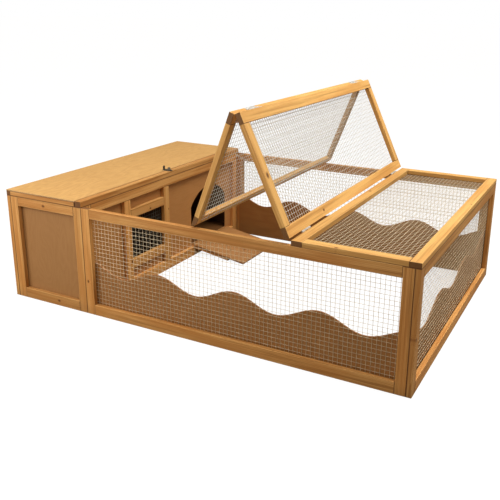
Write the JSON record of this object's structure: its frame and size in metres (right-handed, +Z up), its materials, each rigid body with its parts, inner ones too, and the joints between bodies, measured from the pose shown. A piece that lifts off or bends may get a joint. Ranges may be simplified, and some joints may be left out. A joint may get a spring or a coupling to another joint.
{
  "type": "rabbit hutch",
  "caption": "Low wooden rabbit hutch: boarded sleeping box with lifting lid, pop hole and ramp, beside a wire run with a fold-up mesh roof.",
  "frame": {"origin": "middle of the footprint, on the ground", "axes": "+X along the front from the sleeping box to the run, +Y to the back, +Z up"},
  "size_m": [1.3552, 0.954, 0.6758],
  "materials": {
    "stained_pine": "honey stained, satin",
    "panel_ply": "brown stained plywood, matt",
    "lid_ply": "light stained plywood, satin",
    "wave_board": "brown stained plywood, matt",
    "galvanised_wire": "galvanised welded wire",
    "zinc_steel": "zinc plated",
    "dark_steel": "blackened steel"
  },
  "bodies": {
    "base": {"left_wall_stiles": "stained_pine", "left_wall_rails": "stained_pine", "left_wall_board": "panel_ply", "box_front_stiles": "stained_pine", "box_front_rails": "stained_pine", "box_front_board": "panel_ply", "box_back_stiles": "stained_pine", "box_back_rails": "stained_pine", "box_back_board": "panel_ply", "inner_wall_stiles": "stained_pine", "inner_wall_rails": "stained_pine", "inner_wall_front_board": "panel_ply", "inner_wall_window_boards": "panel_ply", "inner_wall_window_mesh": "galvanised_wire", "inner_wall_pop_hole_board": "panel_ply", "inner_wall_top_strip": "stained_pine", "box_floor": "panel_ply", "floor_bearers": "stained_pine", "run_front_stiles": "stained_pine", "run_front_rails": "stained_pine", "run_front_wave_board": "wave_board", "run_front_mesh": "galvanised_wire", "run_back_stiles": "stained_pine", "run_back_rails": "stained_pine", "run_back_wave_board": "wave_board", "run_back_mesh": "galvanised_wire", "run_end_stiles": "stained_pine", "run_end_rails": "stained_pine", "run_end_wave_board": "wave_board", "run_end_mesh": "galvanised_wire", "fixed_roof_long_rails": "stained_pine", "fixed_roof_cross_rails": "stained_pine", "fixed_roof_mesh": "galvanised_wire", "lid_hinge_wall_leaves": "zinc_steel", "roof_hinge_fixed_leaves": "zinc_steel", "ramp_hinge_sill_leaves": "zinc_steel", "fixed_hinge_pins": "zinc_steel", "hasp_base": "dark_steel", "cabin_hook_eyes": "zinc_steel", "assembly_screws": "zinc_steel", "panel_bolts": "dark_steel"},
    "lid": {"lid_board": "lid_ply", "lid_long_rails": "stained_pine", "lid_cross_rails": "stained_pine", "lid_hinge_lid_leaves": "zinc_steel", "hasp_strap": "dark_steel"},
    "roof_a": {"roof_a_long_rails": "stained_pine", "roof_a_cross_rails": "stained_pine", "roof_a_mesh": "galvanised_wire", "roof_a_hinge_leaves": "zinc_steel", "ridge_hinge_pins": "zinc_steel"},
    "roof_b": {"roof_b_long_rails": "stained_pine", "roof_b_cross_rails": "stained_pine", "roof_b_mesh": "galvanised_wire", "roof_b_hinge_leaves": "zinc_steel"},
    "ramp": {"ramp_board": "panel_ply", "ramp_battens": "stained_pine", "ramp_hinge_ramp_leaves": "zinc_steel"},
    "knob": {"hasp_knob": "dark_steel"},
    "hook": {"cabin_hook": "zinc_steel"}
  },
  "joints": [
    {"name": "lid_hinge", "type": "hinge", "parent": "base", "child": "lid", "pos_m": [-0.67515, 0, 0.345], "axis": [0, -1, 0], "range_deg": [0, 180]},
    {"name": "roof_fold", "type": "hinge", "parent": "base", "child": "roof_a", "pos_m": [0.33385, 0, 0.3615], "axis": [0, 1, 0], "range_deg": [-64.8, 14]},
    {"name": "ridge_fold", "type": "hinge", "parent": "roof_a", "child": "roof_b", "pos_m": [0.17128, 0, 0.67176], "axis": [0, 1, 0], "range_deg": [-29.11, 134]},
    {"name": "ramp_hinge", "type": "hinge", "parent": "base", "child": "ramp", "pos_m": [-0.37335, 0, 0.0376], "axis": [0, 1, 0], "range_deg": [-99.59, 0]},
    {"name": "hasp_turn", "type": "hinge", "parent": "base", "child": "knob", "pos_m": [-0.37635, -0.002, 0.3631], "axis": [0, 0, 1], "range_deg": [0, 90]},
    {"name": "hook_lift", "type": "hinge", "parent": "base", "child": "hook", "pos_m": [-0.35935, 0.453, 0.337], "axis": [0, -1, 0], "range_deg": [0, 22]}
  ],
  "couplings": [
    {"joint": "ridge_fold", "follows": "roof_fold", "ratio": -2.0648}
  ]
}
